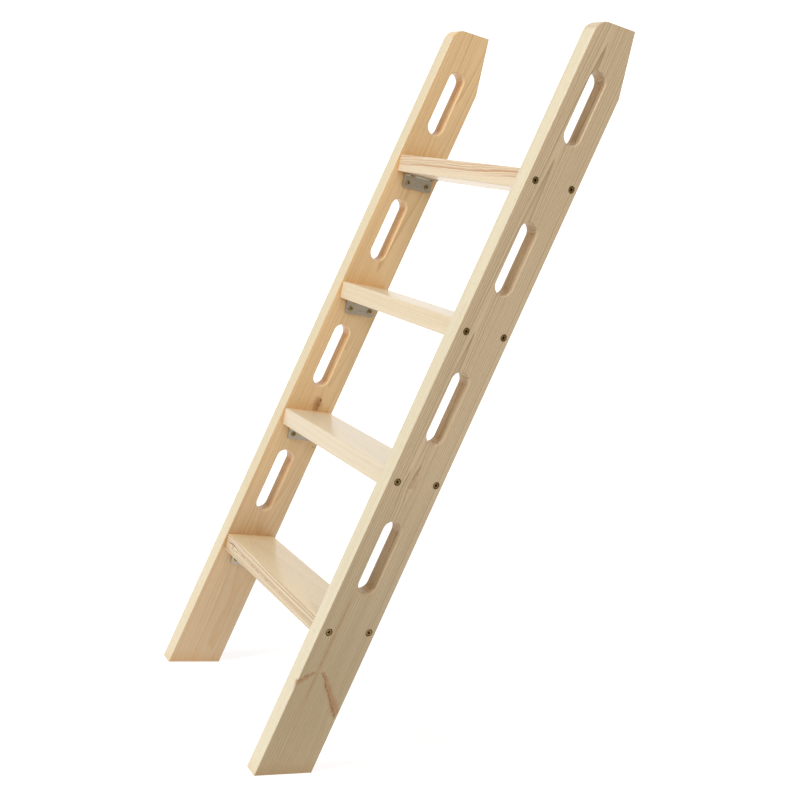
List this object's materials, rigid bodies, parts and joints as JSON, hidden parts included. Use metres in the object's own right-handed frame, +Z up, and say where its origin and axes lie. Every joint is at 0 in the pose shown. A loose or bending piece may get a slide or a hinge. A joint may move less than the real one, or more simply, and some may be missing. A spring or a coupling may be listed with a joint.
{
  "type": "library ladder",
  "caption": "Leaning wooden ladder with flat level treads between two side boards that have hand-hold slots, held by angle brackets and sunk screws.",
  "frame": {"origin": "on the floor, at the middle of the ladder's width and of its depth from the front of the feet to the upright cut at the top", "axes": "+Z up, +X to the climber's right, +Y away from the climber, towards what the ladder leans on"},
  "size_m": [0.44, 0.375, 1.215],
  "materials": {
    "stringer_pine": "planed pine under clear satin lacquer",
    "tread_pine": "planed pine under clear semi-gloss lacquer",
    "zinc_steel": "dull zinc plate",
    "yellow_zinc": "yellow passivated zinc plate"
  },
  "bodies": {
    "root": {"stringer_left": "stringer_pine", "stringer_right": "stringer_pine", "tread_1": "tread_pine", "bolts_1_left": "yellow_zinc", "bracket_1_left": "zinc_steel", "stringer_screws_1_left": "yellow_zinc", "tread_screws_1_left": "yellow_zinc", "bolts_1_right": "yellow_zinc", "bracket_1_right": "zinc_steel", "stringer_screws_1_right": "yellow_zinc", "tread_screws_1_right": "yellow_zinc", "tread_2": "tread_pine", "bolts_2_left": "yellow_zinc", "bracket_2_left": "zinc_steel", "stringer_screws_2_left": "yellow_zinc", "tread_screws_2_left": "yellow_zinc", "bolts_2_right": "yellow_zinc", "bracket_2_right": "zinc_steel", "stringer_screws_2_right": "yellow_zinc", "tread_screws_2_right": "yellow_zinc", "tread_3": "tread_pine", "bolts_3_left": "yellow_zinc", "bracket_3_left": "zinc_steel", "stringer_screws_3_left": "yellow_zinc", "tread_screws_3_left": "yellow_zinc", "bolts_3_right": "yellow_zinc", "bracket_3_right": "zinc_steel", "stringer_screws_3_right": "yellow_zinc", "tread_screws_3_right": "yellow_zinc", "tread_4": "tread_pine", "bolts_4_left": "yellow_zinc", "bracket_4_left": "zinc_steel", "stringer_screws_4_left": "yellow_zinc", "tread_screws_4_left": "yellow_zinc", "bolts_4_right": "yellow_zinc", "bracket_4_right": "zinc_steel", "stringer_screws_4_right": "yellow_zinc", "tread_screws_4_right": "yellow_zinc"}
  },
  "joints": []
}
